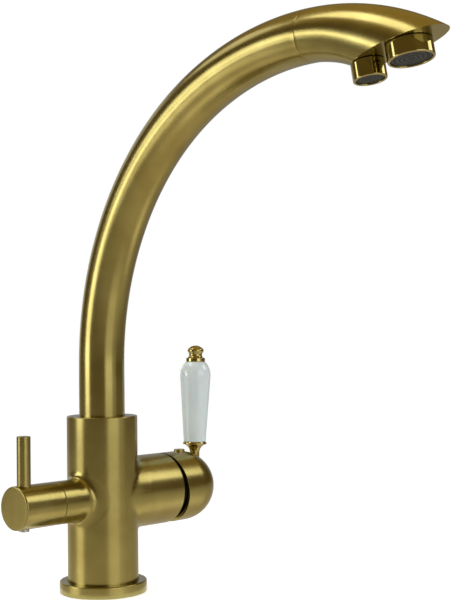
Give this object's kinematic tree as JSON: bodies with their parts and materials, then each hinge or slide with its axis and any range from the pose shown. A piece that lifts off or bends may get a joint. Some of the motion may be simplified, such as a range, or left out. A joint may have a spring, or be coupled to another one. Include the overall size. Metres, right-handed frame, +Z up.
{
  "type": "three way kitchen tap",
  "caption": "Deck-mounted kitchen tap with a swivelling swan-neck spout, a lever mixer for hot and cold water and a quarter-turn knob for filtered water.",
  "frame": {"origin": "centre of the flange's underside, on the deck plane, at the mouth of the hole for the fixing stud", "axes": "+Z up along the column, +X along the mixer branch, -X along the filter branch, the spout to the front at -Y, swung 4.8 degrees towards -X"},
  "size_m": [0.1665, 0.3062, 0.3365],
  "materials": {
    "brushed_brass": "brushed",
    "polished_brass": "polished",
    "raw_brass": "machined",
    "porcelain": "glazed",
    "ceramic": "lapped",
    "white_plastic": "moulded",
    "dark_plastic": "moulded",
    "black_rubber": "matt",
    "steel": "machined",
    "tube_plastic": "extruded"
  },
  "bodies": {
    "tap": {"base_flange": "brushed_brass", "base_gasket": "black_rubber", "tap_body": "brushed_brass", "inlet_block": "raw_brass", "thrust_washer": "white_plastic", "spout_retaining_screw": "steel", "cartridge_base": "white_plastic", "cartridge_seals": "black_rubber", "fixed_ceramic_disc": "ceramic", "cartridge_housing": "white_plastic", "cartridge_nut": "raw_brass", "cartridge_cover_ring": "dark_plastic", "filter_valve_body": "raw_brass", "filter_valve_seal": "black_rubber", "filter_fixed_disc": "ceramic"},
    "spout": {"spout_spigot": "raw_brass", "lower_swivel_bush": "white_plastic", "upper_swivel_bush": "white_plastic", "spout_o_rings": "black_rubber", "spout_tube": "brushed_brass", "head_joint_ring": "raw_brass", "spout_head": "brushed_brass", "main_aerator_housing": "polished_brass", "main_aerator_insert": "dark_plastic", "main_aerator_gasket": "black_rubber", "filter_aerator_housing": "polished_brass", "filter_aerator_insert": "dark_plastic", "filter_aerator_gasket": "black_rubber", "filtered_water_tube": "tube_plastic", "filter_nipple": "raw_brass", "nipple_o_ring": "black_rubber"},
    "mixer_turn": {"stem_guide": "white_plastic", "stem_pivot_pin": "steel"},
    "mixer_lever": {"lever_stem": "steel", "mixer_cap": "brushed_brass", "lever_grub_screw": "steel", "index_plug": "polished_brass", "lever_rod": "steel", "lever_collar": "polished_brass", "porcelain_handle": "porcelain", "lever_finial": "polished_brass"},
    "mixing_disc": {"mixing_ceramic_disc": "ceramic", "disc_carrier": "white_plastic"},
    "filter_knob": {"filter_knob": "brushed_brass", "filter_pin_lever": "brushed_brass", "filter_knob_grub_screw": "steel", "filter_spindle": "raw_brass", "filter_moving_disc": "ceramic", "spindle_o_ring": "black_rubber", "spindle_circlip": "steel"}
  },
  "joints": [
    {"name": "spout_swivel", "type": "hinge", "parent": "tap", "child": "spout", "pos_m": [0, 0, 0.1], "axis": [0, 0, 1], "continuous": true},
    {"name": "mixer_temperature", "type": "hinge", "parent": "tap", "child": "mixer_turn", "pos_m": [0.05, 0, 0.0605], "axis": [1, 0, 0], "range_deg": [-45, 45]},
    {"name": "mixer_flow", "type": "hinge", "parent": "mixer_turn", "child": "mixer_lever", "pos_m": [0.05, 0, 0.0605], "axis": [0, 1, 0], "range_deg": [0, 16]},
    {"name": "mixing_disc_slide", "type": "slide", "parent": "mixer_turn", "child": "mixing_disc", "axis": [0, 0, 1], "range_m": [0, 0.0031]},
    {"name": "filter_turn", "type": "hinge", "parent": "tap", "child": "filter_knob", "pos_m": [-0.05, 0, 0.05985], "axis": [1, 0, 0], "range_deg": [0, 90]}
  ],
  "couplings": [
    {"joint": "mixing_disc_slide", "follows": "mixer_flow", "m_per_rad": 0.01105}
  ]
}
